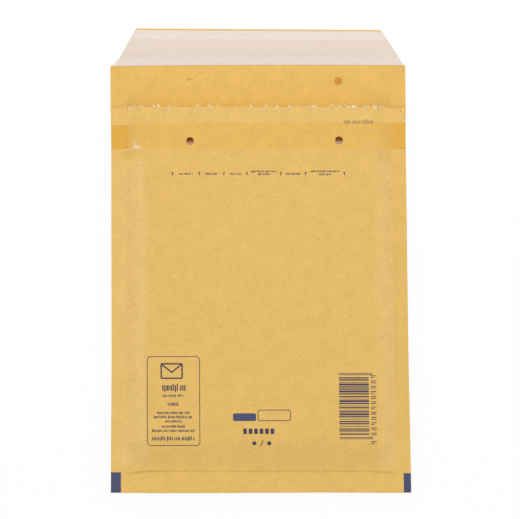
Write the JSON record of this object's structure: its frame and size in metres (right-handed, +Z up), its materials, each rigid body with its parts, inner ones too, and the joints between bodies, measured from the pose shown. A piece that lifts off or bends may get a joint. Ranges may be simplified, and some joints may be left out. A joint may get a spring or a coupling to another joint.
{
  "type": "padded envelope",
  "caption": "Kraft paper mailer with a bubble film pocket, lying with its closing flap open and its adhesive covered by a release liner.",
  "frame": {"origin": "centre of the underside's bounding rectangle, on the surface that the envelope lies on", "axes": "+X across the width, to the right as the flap points away; +Y along the length, from the bottom fold to the flap; +Z up, out of the front panel"},
  "size_m": [0.17, 0.267, 0.0108],
  "materials": {
    "kraft_paper": "uncoated golden kraft, matte",
    "bubble_film": "clear polyethylene film, smooth",
    "adhesive": "tacky hot-melt, satin",
    "liner_paper": "siliconised paper, satin"
  },
  "bodies": {
    "root": {"kraft_paper_jacket": "kraft_paper", "bubble_film_lining": "bubble_film", "adhesive_strip": "adhesive", "release_liner": "liner_paper"}
  },
  "joints": []
}
